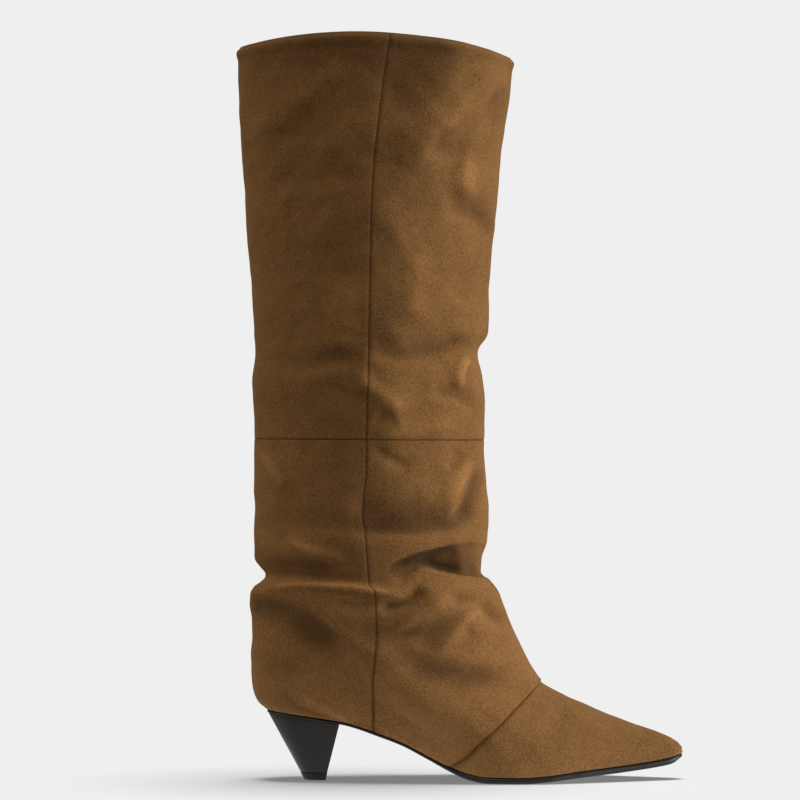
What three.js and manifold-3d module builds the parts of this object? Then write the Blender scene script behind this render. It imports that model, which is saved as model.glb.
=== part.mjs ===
// Knee-high pull-on boot in soft suede, right foot, slouched at the ankle: a pointed vamp, a loose
// lower shaft lapped over it, a straight upper shaft, a thin black sole and a cone heel.
// Millimetres, +X to the toe, +Y to the inner side of the foot, +Z up, standing on the floor.
import * as THREE from "three";
import { mergeVertices } from "three/addons/utils/BufferGeometryUtils.js";
import Module from "manifold-3d";

// Driving dimensions
const LENGTH = 256.5; // heel seat to toe tip, outside the leather
const BALL_WIDTH = 82; // outside the leather, at the joint of the toes
const SEAT_HEIGHT = 43.3; // back edge of the heel seat above the floor
const TOE_SPRING = 12.1; // lift of the sole's top at the toe tip, above its top at the ball
const ANKLE_HEIGHT = 125; // the deepest slouch fold above the floor
const BOOT_HEIGHT = 456; // top of the collar at the sides
const SHAFT_BREADTH = 98; // widest part of the shaft, side to side
const SIDE_ROUND = 1.7; // level section of the shaft: 2 is an ellipse, less has ridges at the sides
const WALL = 1.8; // suede and lining together
const CLEARANCE = 0.3; // left between pieces that meet
const LAP = 8; // width of the vamp's edge under the lower shaft
const LAP_STEP = 1.1; // the vamp's surface lies this far inside the lower shaft's
const LAP_AT_SOLE = 0.4; // the same at the sole, where both are pulled flat
const FOLD_DEPTH = 10; // deepest slouch fold
const FOLD_REACH = 12; // how far a fold spreads to either side of its line

const SOLE_SEAT = 1.6; // sole thickness on the heel
const SOLE_WAIST = 1.9; // under the arch
const SOLE_BALL = 3.4; // on the floor
const SOLE_TOE = 3.9; // at the tip
const SOLE_INSET = 0.3; // the leather overhangs the sole's edge
const SOLE_CHAMFER = 0.6; // broken edge of the sole
const INSOLE = 2.2;

const HEEL_TOP_LENGTH = 44; // back of the heel to its breast, under the seat
const HEEL_INSET = 0.9; // from the sole's edge, at the top
const HEEL_TIP_LENGTH = 13.4; // on the floor
const HEEL_TIP_WIDTH = 18;
const HEEL_TIP_SETBACK = 23; // tip's back edge in front of the seat's back edge
const TIP_SQUARENESS = 0.7; // 1 is half a round, and less is squarer
const TOP_PIECE = 4.6; // rubber under the heel

// How finely the shells are cut into facets
const HALF_STEPS = 24; // from the back to the front, on each side
const UPPER_RINGS = 2; // for each row of the section table
const SHAFT_RINGS = 1;
const HEEL_STEPS = 36;

// The sole's outline. at: share of LENGTH from the heel. half: half width, and lean: how far the
// middle stands to the inner side, both as shares of BALL_WIDTH.
const OUTLINE = table(
  ["at", "half", "lean"],
  [
    [0, 0, 0],
    [0.02, 0.165, 0],
    [0.06, 0.262, 0],
    [0.121, 0.318, 0],
    [0.191, 0.326, -0.002],
    [0.282, 0.3, -0.012],
    [0.363, 0.298, -0.027],
    [0.443, 0.336, -0.042],
    [0.524, 0.418, -0.033],
    [0.595, 0.482, -0.012],
    [0.665, 0.49, 0.015],
    [0.736, 0.434, 0.029],
    [0.806, 0.345, 0.033],
    [0.877, 0.25, 0.033],
    [0.937, 0.165, 0.031],
    [0.978, 0.1, 0.03],
    [1, 0, 0.03],
  ],
);

// The sole's top from the side. heel: share of the heel seat's lift, toe: share of the toe spring.
// thick: 0 is the seat's thickness, 1 the waist's, 2 the ball's and 3 the toe's.
const PROFILE = table(
  ["at", "heel", "toe", "thick"],
  [
    [0, 1, 0, 0],
    [0.179, 0.842, 0, 0],
    [0.209, 0.796, 0, 0.5],
    [0.267, 0.666, 0, 1],
    [0.325, 0.523, 0, 1],
    [0.383, 0.33, 0, 1.15],
    [0.44, 0.15, 0, 1.55],
    [0.484, 0.045, 0, 1.9],
    [0.529, 0, 0, 2],
    [0.62, 0, 0, 2],
    [0.675, 0, 0.09, 2],
    [0.746, 0, 0.27, 2.3],
    [0.852, 0, 0.5, 2.8],
    [0.952, 0, 0.77, 3],
    [1, 0, 1, 3],
  ],
);

// Rings round the leather, from the sole's edge to the collar. backX and frontX: shares of LENGTH.
// backZ and frontZ: levels, 0 at the seat or the toe tip, 1 at the ankle and 2 at the collar.
// sag: how much of the sole's arch the ring follows. arch: rise of its sides, a share of BOOT_HEIGHT.
// girth: size of the sole's outline in it. oval: 0 follows that outline, 1 an oval of this breadth,
// a share of SHAFT_BREADTH. skew: under 1 puts the oval's widest part to the back.
const SECTION_COLUMNS = [
  "backX", "backZ", "frontX", "frontZ", "sag", "arch", "girth", "oval", "breadth", "skew",
];
const LOWER_SECTIONS = table(
  SECTION_COLUMNS,
  [
    [0, 0, 1, 0, 1, 0, 1, 0, 0.6, 0.85],
    [-0.021, 0.061, 1.002, 0.036, 1, 0, 1.06, 0, 0.62, 0.85],
    [-0.034, 0.172, 0.995, 0.064, 1, 0, 1.1, 0, 0.64, 0.85],
    [-0.038, 0.293, 0.974, 0.101, 0.95, 0, 1.12, 0.08, 0.68, 0.85],
    [-0.038, 0.419, 0.901, 0.172, 0.85, 0, 1.12, 0.25, 0.76, 0.85],
    [-0.035, 0.556, 0.804, 0.255, 0.7, 0, 1.1, 0.55, 0.8, 0.87],
    [-0.036, 0.677, 0.718, 0.336, 0.5, 0, 1.08, 0.85, 0.82, 0.9],
    [-0.041, 0.788, 0.657, 0.426, 0.35, 0, 1.05, 1, 0.84, 0.92],
    [-0.041, 0.864, 0.618, 0.579, 0.25, 0, 1, 1, 0.85, 0.94],
    [-0.033, 0.924, 0.583, 0.752, 0.15, 0, 1, 1, 0.85, 0.96],
    [-0.016, 0.97, 0.555, 0.917, 0.1, 0, 1, 1, 0.83, 0.98],
    [-0.007, 1.003, 0.529, 0.994, 0.05, 0, 1, 1, 0.82, 1],
    [-0.017, 1.015, 0.515, 1.01, 0, 0, 1, 1, 0.84, 1],
    [-0.031, 1.036, 0.517, 1.034, 0, 0, 1, 1, 0.88, 1],
    [-0.031, 1.076, 0.53, 1.071, 0, 0, 1, 1, 0.92, 1],
    [-0.029, 1.127, 0.533, 1.124, 0, 0, 1, 1, 0.94, 1],
    [-0.031, 1.196, 0.525, 1.195, 0, 0, 1, 1, 0.94, 1],
    [-0.029, 1.257, 0.524, 1.255, 0, 0, 1, 1, 0.94, 1],
  ],
);
const SHAFT_SECTIONS = table(
  SECTION_COLUMNS,
  [
    [-0.031, 1.317, 0.524, 1.323, 0, 0, 1, 1, 0.95, 1],
    [-0.036, 1.369, 0.519, 1.371, 0, 0, 1, 1, 0.96, 1],
    [-0.029, 1.414, 0.508, 1.417, 0, 0, 1, 1, 0.96, 1],
    [-0.03, 1.459, 0.533, 1.458, 0, 0, 1, 1, 0.97, 1],
    [-0.037, 1.529, 0.534, 1.522, 0, 0, 1, 1, 0.98, 1],
    [-0.043, 1.589, 0.541, 1.59, 0, 0, 1, 1, 0.99, 1],
    [-0.05, 1.686, 0.553, 1.681, 0, 0, 1, 1, 1, 1],
    [-0.058, 1.786, 0.565, 1.786, 0, 0.002, 1, 1, 0.98, 1],
    [-0.068, 1.894, 0.583, 1.886, 0, 0.01, 1, 1, 0.95, 1],
    [-0.072, 1.986, 0.595, 1.965, 0, 0.0225, 1, 1, 0.92, 1],
  ],
);
const SECTIONS = [...LOWER_SECTIONS, ...SHAFT_SECTIONS];
const crossSeamRow = LOWER_SECTIONS.length - 1; // where the lower and upper shaft are sewn together

// The main slouch folds, seen from the side. side: -1 outer, 1 inner. from and to: ends of the
// fold's line, a share of LENGTH and a level, 0 at the floor. bow: how far its middle bends up, a
// share of BOOT_HEIGHT. depth: of FOLD_DEPTH, inwards. above and below: spread, of FOLD_REACH.
const FOLDS = table(
  ["side", "from", "to", "bow", "depth", "above", "below"],
  [
    [-1, [0.363, 0.956], [0.534, 1.014], 0.008, 0.9, 0.55, 0.85],
    [-1, [0, 1.015], [0.282, 1.001], -0.005, 0.5, 1.2, 0.9],
    [-1, [0.02, 0.876], [0.343, 0.821], 0.01, 0.4, 0.7, 1.4],
    [-1, [0.242, 1.084], [0.443, 1.098], -0.008, 0.35, 1.2, 0.8],
    [-1, [0.363, 0.693], [0.504, 0.857], -0.005, 0.3, 0.8, 0.8],
    [1, [0.302, 0.93], [0.534, 1.008], -0.006, 0.85, 0.6, 0.9],
    [1, [0, 1.008], [0.262, 0.967], 0.004, 0.5, 1, 0.9],
    [1, [0.04, 0.803], [0.363, 0.857], -0.008, 0.4, 0.8, 1.2],
    [1, [0.202, 1.098], [0.423, 1.077], 0.008, 0.35, 1.1, 0.9],
  ],
);

// The lower shaft's front edge, a straight line from the side: shares of LENGTH, and levels
const VAMP_SEAM = { top: [0.663, 0.467], bottom: [0.432, 0.069] };

const wasm = await Module();
wasm.setup();

function table(names, rows) {
  return rows.map((row) => Object.fromEntries(row.map((value, i) => [names[i], value])));
}

// Interpolation of one column of a table with a smooth curve that never overshoots its rows
function curve(places, values) {
  const last = places.length - 1;
  const slopes = places.map((_, i) => {
    if (i === 0 || i === last) {
      const j = i === 0 ? 0 : last - 1;
      return (values[j + 1] - values[j]) / (places[j + 1] - places[j]);
    }
    const before = (values[i] - values[i - 1]) / (places[i] - places[i - 1]);
    const after = (values[i + 1] - values[i]) / (places[i + 1] - places[i]);
    return before * after <= 0 ? 0 : (2 * before * after) / (before + after);
  });
  return (place) => {
    const p = Math.min(Math.max(place, places[0]), places[last]);
    let i = 0;
    while (i < last - 1 && p > places[i + 1]) i++;
    const width = places[i + 1] - places[i];
    const t = (p - places[i]) / width;
    const rest = 1 - t;
    return (
      values[i] * rest * rest * (1 + 2 * t) +
      values[i + 1] * t * t * (3 - 2 * t) +
      width * t * rest * (slopes[i] * rest - slopes[i + 1] * t)
    );
  };
}

const column = (table, name) => table.map((row) => row[name]);
// Round ends come out round when a share of the length is read as an angle.
const angleAt = (share) => Math.acos(1 - 2 * Math.min(Math.max(share, 0), 1));

const outlineAngles = column(OUTLINE, "at").map(angleAt);
const outlineHalf = curve(outlineAngles, column(OUTLINE, "half"));
const outlineLean = curve(outlineAngles, column(OUTLINE, "lean"));
const profileHeel = curve(column(PROFILE, "at"), column(PROFILE, "heel"));
const profileToe = curve(column(PROFILE, "at"), column(PROFILE, "toe"));
const profileThick = curve(column(PROFILE, "at"), column(PROFILE, "thick"));
const thickness = curve([0, 1, 2, 3], [SOLE_SEAT, SOLE_WAIST, SOLE_BALL, SOLE_TOE]);

const soleTop = (share) =>
  SOLE_BALL + profileHeel(share) * (SEAT_HEIGHT - SOLE_BALL) + profileToe(share) * TOE_SPRING;
const soleBottom = (share) => soleTop(share) - thickness(profileThick(share));
const toeHeight = soleTop(1);

// Height of a level: 1 at the ankle, 2 at the collar, and 0 at a base height
const heightAt = (level, base) =>
  level < 1
    ? base + level * (ANKLE_HEIGHT - base)
    : ANKLE_HEIGHT + (level - 1) * (BOOT_HEIGHT - ANKLE_HEIGHT);

const sectionRows = SECTIONS.map((_, i) => i);
const section = Object.fromEntries(
  Object.keys(SECTIONS[0]).map((name) => [name, curve(sectionRows, column(SECTIONS, name))]),
);

// A point of the smooth leather surface. row: place in the section table. turn: 0 at the back,
// 0.25 on the outer side, 0.5 at the front, 0.75 on the inner side.
function smoothPoint(row, turn) {
  const side = turn <= 0.5 ? -1 : 1;
  const angle = (turn <= 0.5 ? turn : 1 - turn) * 2 * Math.PI;
  const share = (1 - Math.cos(angle)) / 2;
  const at = (name) => section[name](row);
  const backZ = heightAt(at("backZ"), SEAT_HEIGHT);
  const frontZ = heightAt(at("frontZ"), toeHeight);
  const archOfSole = SEAT_HEIGHT + (toeHeight - SEAT_HEIGHT) * share - soleTop(share);
  const rise = at("arch") * BOOT_HEIGHT * Math.sin(angle) ** 2;
  const oval = at("oval");
  const skewed = angle ** at("skew") * Math.PI ** (1 - at("skew"));
  const ovalHalf = (1 - Math.abs(Math.cos(skewed)) ** SIDE_ROUND) ** (1 / SIDE_ROUND);
  const half =
    (1 - oval) * at("girth") * outlineHalf(angle) * BALL_WIDTH +
    (oval * ovalHalf * at("breadth") * SHAFT_BREADTH) / 2;
  const lean = (1 - oval) * outlineLean(angle) * BALL_WIDTH;
  return new THREE.Vector3(
    (at("backX") + (at("frontX") - at("backX")) * share) * LENGTH,
    lean + side * half,
    backZ + (frontZ - backZ) * share - at("sag") * archOfSole + rise,
  );
}

// How far the folds push a point in, from its place seen from the side
function foldDepth(point, outward) {
  let depth = 0;
  for (const fold of FOLDS) {
    const from = new THREE.Vector2(fold.from[0] * LENGTH, heightAt(fold.from[1], 0));
    const to = new THREE.Vector2(fold.to[0] * LENGTH, heightAt(fold.to[1], 0));
    const along = to.sub(from);
    const length = along.length();
    along.divideScalar(length);
    const offset = new THREE.Vector2(point.x, point.z).sub(from);
    const t = offset.dot(along) / length;
    const bow = 4 * t * (1 - t) * fold.bow * BOOT_HEIGHT;
    const across = offset.dot(new THREE.Vector2(-along.y, along.x)) - bow;
    const spread = (across > 0 ? fold.above : fold.below) * FOLD_REACH;
    const fade = Math.exp(-((2 * t - 1) ** 6));
    const facing = THREE.MathUtils.smoothstep(outward.y * fold.side, -0.1, 0.5);
    depth += fold.depth * FOLD_DEPTH * fade * facing * Math.exp(-((across / spread) ** 2));
  }
  return depth;
}

// Unit normals of a grid of points that closes round on itself, pointing out of the boot
function gridNormals(points) {
  const rings = points.length;
  return points.map((ring, k) =>
    ring.map((_, j) => {
      const around = ring.length;
      const below = points[Math.max(k - 1, 0)][j];
      const above = points[Math.min(k + 1, rings - 1)][j];
      const before = ring[(j + around - 1) % around];
      const after = ring[(j + 1) % around];
      const up = above.clone().sub(below);
      return after.clone().sub(before).cross(up).normalize();
    }),
  );
}

// The leather's outer surface between two rows, with its folds, and its normals. lift: raises a ring.
function leather(fromRow, toRow, perRow, lift) {
  const steps = (toRow - fromRow) * perRow;
  const around = 2 * HALF_STEPS;
  const smooth = Array.from({ length: steps + 1 }, (_, k) =>
    Array.from({ length: around }, (_, j) => smoothPoint(fromRow + k / perRow, j / around)),
  );
  const outward = gridNormals(smooth);
  const outer = smooth.map((ring, k) =>
    ring.map((p, j) => {
      const n = outward[k][j];
      return p.clone().addScaledVector(n, -foldDepth(p, n)).add(new THREE.Vector3(0, 0, lift(k, steps)));
    }),
  );
  return { outer, normals: gridNormals(outer) };
}

// A wall under the leather's surface, as a closed geometry. depth: of its outer face, by ring
function shell({ outer, normals }, depth) {
  const inset = (extra) =>
    outer.map((ring, k) => ring.map((p, j) => p.clone().addScaledVector(normals[k][j], -depth(k) - extra)));
  return closedGrid(inset(0).concat(inset(WALL).reverse()), true);
}

// A closed geometry from rings of points. loops: the last ring joins the first, and otherwise
// both ends are closed by a fan.
function closedGrid(rings, loops) {
  const around = rings[0].length;
  const positions = rings.flat().flatMap((p) => [p.x, p.y, p.z]);
  const faces = [];
  const bands = loops ? rings.length : rings.length - 1;
  for (let k = 0; k < bands; k++) {
    const next = (k + 1) % rings.length;
    for (let j = 0; j < around; j++) {
      const after = (j + 1) % around;
      const [a, b] = [k * around + j, k * around + after];
      const [c, d] = [next * around + after, next * around + j];
      faces.push(a, b, c, a, c, d);
    }
  }
  if (!loops) {
    for (const [ring, turned] of [[0, true], [rings.length - 1, false]]) {
      const middle = new THREE.Vector3();
      rings[ring].forEach((p) => middle.addScaledVector(p, 1 / around));
      const centre = positions.push(middle.x, middle.y, middle.z) / 3 - 1;
      for (let j = 0; j < around; j++) {
        const [a, b] = [ring * around + j, ring * around + ((j + 1) % around)];
        faces.push(centre, ...(turned ? [b, a] : [a, b]));
      }
    }
  }
  const geometry = new THREE.BufferGeometry();
  geometry.setAttribute("position", new THREE.Float32BufferAttribute(positions, 3));
  geometry.setIndex(faces);
  return geometry;
}

function toSolid(geometry) {
  const merged = geometry.clone();
  merged.deleteAttribute("normal");
  merged.deleteAttribute("uv");
  const welded = mergeVertices(merged, 1e-4);
  return new wasm.Manifold(
    new wasm.Mesh({
      numProp: 3,
      vertProperties: welded.attributes.position.array,
      triVerts: new Uint32Array(welded.index.array),
    }),
  );
}

function toGeometry(solid) {
  const mesh = solid.getMesh();
  const geometry = new THREE.BufferGeometry();
  geometry.setAttribute("position", new THREE.BufferAttribute(new Float32Array(mesh.vertProperties), 3));
  geometry.setIndex(new THREE.BufferAttribute(new Uint32Array(mesh.triVerts), 1));
  return geometry;
}

// A block with one face on the vamp's seam, moved back from it, and the rest in front or behind
function seamBlock(back, inFront) {
  const size = 2 * BOOT_HEIGHT;
  const [topX, topZ] = [VAMP_SEAM.top[0] * LENGTH, heightAt(VAMP_SEAM.top[1], 0)];
  const [lowX, lowZ] = [VAMP_SEAM.bottom[0] * LENGTH, heightAt(VAMP_SEAM.bottom[1], 0)];
  const tilt = Math.atan2(topX - lowX, topZ - lowZ);
  const block = new THREE.BoxGeometry(size, size, size);
  block.translate((inFront ? size : -size) / 2 - back, 0, 0);
  block.rotateY(tilt);
  block.translate(topX, 0, topZ);
  return toSolid(block);
}

const boot = new THREE.Group();
function addPiece(name, geometry, color, roughness) {
  const material = new THREE.MeshStandardMaterial({ color, roughness, metalness: 0 });
  const mesh = new THREE.Mesh(geometry, material);
  mesh.name = name;
  boot.add(mesh);
}

const SUEDE = "#7b5a34";
const BLACK = "#1c1a19";

// Lower shaft and vamp, one hollow wall: the vamp's edge goes in under the lower shaft
function makeUpper() {
  const lift = (k, last) => (k === 0 ? CLEARANCE : k === last ? -CLEARANCE / 2 : 0);
  const surface = leather(0, crossSeamRow, UPPER_RINGS, lift);
  const vampDepth = (k) =>
    THREE.MathUtils.lerp(LAP_AT_SOLE, LAP_STEP, THREE.MathUtils.smoothstep(k / UPPER_RINGS, 0, 2));
  const lowerShaft = toSolid(shell(surface, () => 0)).intersect(seamBlock(0, false));
  const vamp = toSolid(shell(surface, vampDepth)).intersect(seamBlock(LAP, true));
  return toGeometry(lowerShaft.add(vamp));
}

// Upper shaft, a tube from the cross seam to the collar
function makeShaft() {
  const lift = (k) => (k === 0 ? CLEARANCE / 2 : 0);
  return shell(leather(crossSeamRow, SECTIONS.length - 1, SHAFT_RINGS, lift), () => 0);
}

// A plate under the foot, cut into stations along it. inset: from the leather's outline.
// bottom and top: heights along the sole.
function plate(inset, top, bottom, chamfer) {
  const stations = Array.from({ length: HALF_STEPS + 1 }, (_, i) => {
    const angle = (Math.PI * i) / HALF_STEPS;
    const share = (1 - Math.cos(angle)) / 2;
    const middle = outlineLean(angle) * BALL_WIDTH;
    const x = inset + share * (LENGTH - 2 * inset);
    const half = Math.max(outlineHalf(angle) * BALL_WIDTH - inset * Math.sin(angle) ** 0.5, chamfer * 2);
    const [high, low] = [top(x / LENGTH), bottom(x / LENGTH)];
    const at = (y, z) => new THREE.Vector3(x, middle + y, z);
    return [
      at(-half, high),
      at(-half, low + chamfer),
      at(-half + chamfer, low),
      at(half - chamfer, low),
      at(half, low + chamfer),
      at(half, high),
    ];
  });
  return closedGrid(stations, false);
}

const makeOutsole = () => plate(SOLE_INSET, soleTop, soleBottom, SOLE_CHAMFER);

function makeInsole() {
  const inset = LAP_STEP + WALL + 2 * CLEARANCE;
  return plate(inset, (s) => soleTop(s) + CLEARANCE + INSOLE, (s) => soleTop(s) + CLEARANCE, SOLE_CHAMFER);
}

const seatAngle = angleAt(HEEL_TOP_LENGTH / LENGTH);
const tipTaper = TOP_PIECE / SEAT_HEIGHT; // how far up to the seat the rubber ends

// A ring round the heel, flat at the breast and round behind. up: 0 on the floor, 1 at the seat,
// where it follows the sole's outline. height: of a point, from its place along the boot.
function heelRing(up, height) {
  return Array.from({ length: HEEL_STEPS + 1 }, (_, j) => {
    const turn = 1 - (2 * j) / HEEL_STEPS;
    const angle = Math.abs(turn) * seatAngle;
    const seatX = HEEL_INSET + ((1 - Math.cos(angle)) / 2) * LENGTH;
    const seatY = Math.sign(turn) * Math.max(outlineHalf(angle) * BALL_WIDTH - HEEL_INSET, 0);
    const tipX = HEEL_TIP_SETBACK + HEEL_TIP_LENGTH * (1 - Math.cos((turn * Math.PI) / 2) ** TIP_SQUARENESS);
    const tipY = (HEEL_TIP_WIDTH / 2) * Math.sin((turn * Math.PI) / 2);
    const x = THREE.MathUtils.lerp(tipX, seatX, up);
    return new THREE.Vector3(x, THREE.MathUtils.lerp(tipY, seatY, up), height(x));
  });
}

// Cone heel, its top on the sloping seat
function makeHeel() {
  const bottom = heelRing(tipTaper, () => TOP_PIECE + CLEARANCE);
  const top = heelRing(1, (x) => soleBottom(x / LENGTH) - CLEARANCE);
  return closedGrid([bottom, top], false);
}

const makeTopPiece = () => closedGrid([heelRing(0, () => 0), heelRing(tipTaper, () => TOP_PIECE)], false);

addPiece("upper", makeUpper(), SUEDE, 0.95);
addPiece("shaft", makeShaft(), SUEDE, 0.95);
addPiece("insole", makeInsole(), "#a98a63", 0.8);
addPiece("outsole", makeOutsole(), BLACK, 0.5);
addPiece("heel", makeHeel(), BLACK, 0.4);
addPiece("top_piece", makeTopPiece(), BLACK, 0.7);

// The origin is on the floor, under the middle of the whole boot.
const box = new THREE.Box3().setFromObject(boot);
boot.position.set(-(box.min.x + box.max.x) / 2, -(box.min.y + box.max.y) / 2, 0);

export default boot;
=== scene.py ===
"""Looks of a knee-high slouch boot: soft suede leg and vamp, black sole and cone heel.

Lengths are in millimetres in the boot's own measure: x from the back of the heel seat to the toe,
y to the inner side of the foot, z up from the floor. They become metres when a mesh is made.
"""
import math

import bpy
import numpy as np
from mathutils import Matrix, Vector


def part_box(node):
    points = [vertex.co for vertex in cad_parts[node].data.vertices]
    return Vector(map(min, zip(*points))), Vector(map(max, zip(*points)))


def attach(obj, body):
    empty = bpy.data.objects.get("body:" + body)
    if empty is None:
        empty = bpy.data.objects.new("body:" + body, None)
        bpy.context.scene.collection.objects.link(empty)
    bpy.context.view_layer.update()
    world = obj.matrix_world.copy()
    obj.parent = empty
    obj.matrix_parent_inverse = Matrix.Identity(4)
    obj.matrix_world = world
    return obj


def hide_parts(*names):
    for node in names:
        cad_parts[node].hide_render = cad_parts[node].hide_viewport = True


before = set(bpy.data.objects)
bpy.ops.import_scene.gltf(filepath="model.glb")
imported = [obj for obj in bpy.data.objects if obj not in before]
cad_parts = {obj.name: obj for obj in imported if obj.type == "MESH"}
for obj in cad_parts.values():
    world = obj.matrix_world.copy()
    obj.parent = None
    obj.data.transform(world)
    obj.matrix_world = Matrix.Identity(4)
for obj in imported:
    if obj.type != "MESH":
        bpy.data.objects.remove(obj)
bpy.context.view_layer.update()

MM = 0.001

# Sizes of the boot
LENGTH = 256.5
BALL_WIDTH = 82.0
SEAT_HEIGHT = 43.3
TOE_SPRING = 12.1
ANKLE_HEIGHT = 125.0
BOOT_HEIGHT = 456.0
SHAFT_BREADTH = 98.0
SIDE_ROUND = 1.7
WALL = 1.8
CLEARANCE = 0.3
LAP = 8.0
LAP_STEP = 1.1
LAP_AT_SOLE = 0.4
SOLE_THICKNESS = [1.6, 1.9, 3.4, 3.9]  # seat, waist, ball and toe
SOLE_INSET = 0.3
INSOLE = 2.2
HEEL_TOP_LENGTH = 44.0
HEEL_INSET = 0.9
HEEL_TIP_LENGTH = 13.4
HEEL_TIP_WIDTH = 18.0
HEEL_TIP_SETBACK = 23.0
TIP_SQUARENESS = 0.7
TOP_PIECE = 4.6
TOP_PIECE_SHARE = TOP_PIECE / SEAT_HEIGHT

# Finish of the leather
SEAM_GROOVE = (0.26, 0.6)  # depth and width of the groove along a seam
SEAM_SWELL = (0.05, 2.2, 1.4)  # height, place and width of the swelling beside it
SEAM_LINE = 0.42  # width of the dark line in the groove
UNEVEN = [(0.35, 3, 46), (0.16, 5, 17), (0.05, 8, 7)]  # height, seed and length of the waves
COLLAR_ROLL = (2.1, 1.8)  # how far the collar's edge turns in, and over what width
LEG_ROLL = (0.35, 0.8)  # the same for the lower leg's front edge
COLLAR_SWELL = (0.7, 5, 3)  # height, place below the edge and width of the swelling under it
HALF_GIRTH = 190.0  # way round a ring of the leg from back to front
HALF_GIRTH_FOOT = 150.0
# on the vamp, the dark line is a painted shadow beside the lower leg's lapped edge
DARK_EDGE = {"collar": 1.2, "leg": 1.0, "vamp": 1.1}  # width of the dark line along each edge
VAMP_SLACK = 0.12  # how much further in than its step the vamp lies
FAR = 50.0  # a distance at which a seam or edge no longer shows

# How the lines of folds are laid on the leather
LINE_POINTS = 20
LINE_REACH = 2.6  # a fold ends this many spreads from its line
LINE_END = 0.26  # share of a line's length over which it fades in and out
TURNED_AWAY = -0.1  # sideways part of the normal from which the surface has turned away
FOLD_SEEN = 0.45  # the same, from which folds have their full depth
POCKET_SEEN = 0.8

# Distances in mm of the extra rows from each kind of edge
SEAM_ROWS = (0.4, 0.9, 1.6, 2.6)
COLLAR_ROWS = (0.4, 0.8, 1.3, 1.9, 2.6, 3.5)
SOLE_ROWS = (0.5, 1.2)

# Where the boot's own measure lies in the frame, in millimetres
FRAME_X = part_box("outsole")[0].x / MM - SOLE_INSET
FRAME_Y = (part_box("shaft")[0].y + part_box("shaft")[1].y) / 2 / MM

# Shape tables

# The sole's outline. at: share of LENGTH. half and lean: half width and middle, of BALL_WIDTH.
OUTLINE = {
    "at": [0, 0.02, 0.06, 0.121, 0.191, 0.282, 0.363, 0.443, 0.524, 0.595, 0.665, 0.736,
           0.806, 0.877, 0.937, 0.978, 1],
    "half": [0, 0.165, 0.262, 0.318, 0.326, 0.3, 0.298, 0.336, 0.418, 0.482, 0.49, 0.434,
             0.345, 0.25, 0.165, 0.1, 0],
    "lean": [0, 0, 0, 0, -0.002, -0.012, -0.027, -0.042, -0.033, -0.012, 0.015, 0.029,
             0.033, 0.033, 0.031, 0.03, 0.03],
}

# The sole's top from the side. heel: of the seat's lift. toe: of the toe spring. thick: place in
# SOLE_THICKNESS.
PROFILE = {
    "at": [0, 0.179, 0.209, 0.267, 0.325, 0.383, 0.44, 0.484, 0.529, 0.62, 0.675, 0.746,
           0.852, 0.952, 1],
    "heel": [1, 0.842, 0.796, 0.666, 0.523, 0.33, 0.15, 0.045, 0, 0, 0, 0, 0, 0, 0],
    "toe": [0, 0, 0, 0, 0, 0, 0, 0, 0, 0, 0.09, 0.27, 0.5, 0.77, 1],
    "thick": [0, 0, 0.5, 1, 1, 1.15, 1.55, 1.9, 2, 2, 2, 2.3, 2.8, 3, 3],
}

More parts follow.
